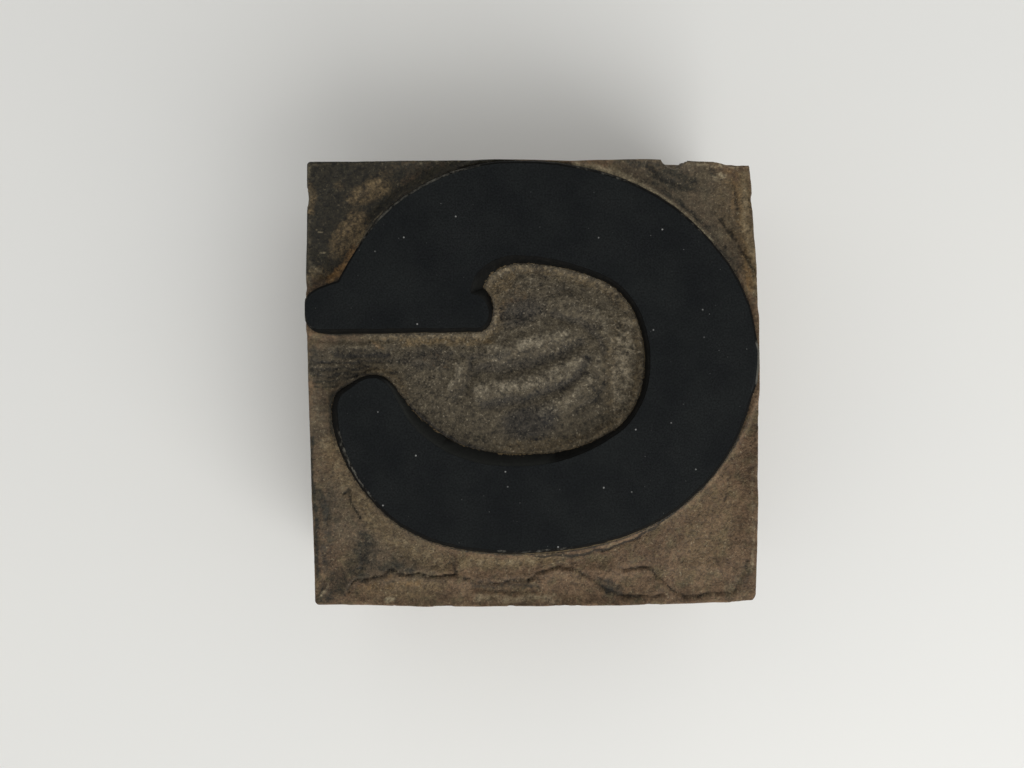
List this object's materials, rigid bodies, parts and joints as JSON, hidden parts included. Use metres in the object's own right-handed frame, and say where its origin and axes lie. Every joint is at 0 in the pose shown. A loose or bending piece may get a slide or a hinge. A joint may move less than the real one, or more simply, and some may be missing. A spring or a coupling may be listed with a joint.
{
  "type": "wooden letter stamp",
  "caption": "Square end-grain wood printing block with a raised reversed letter, a gouged ground round it and a coat of dried ink on the printing face.",
  "frame": {"origin": "middle of the flat foot", "axes": "+Z from the foot to the printing face, +Y to the letter's crown, +X to the letter's closed flank"},
  "size_m": [0.0506, 0.0506, 0.0233],
  "materials": {
    "end_grain_wood": "old end-grain hardwood, gouged, oiled by handling and stained with ink",
    "hide_glue": "thin hardened amber glue line",
    "stained_wood": "fine wood soaked black with ink, corners rubbed grey",
    "dried_ink": "dried printing ink, blue-black and matte with a faint sheen"
  },
  "bodies": {
    "root": {"body_block": "end_grain_wood", "glue_film": "hide_glue", "letter_plate": "stained_wood", "ink_film": "dried_ink"}
  },
  "joints": []
}
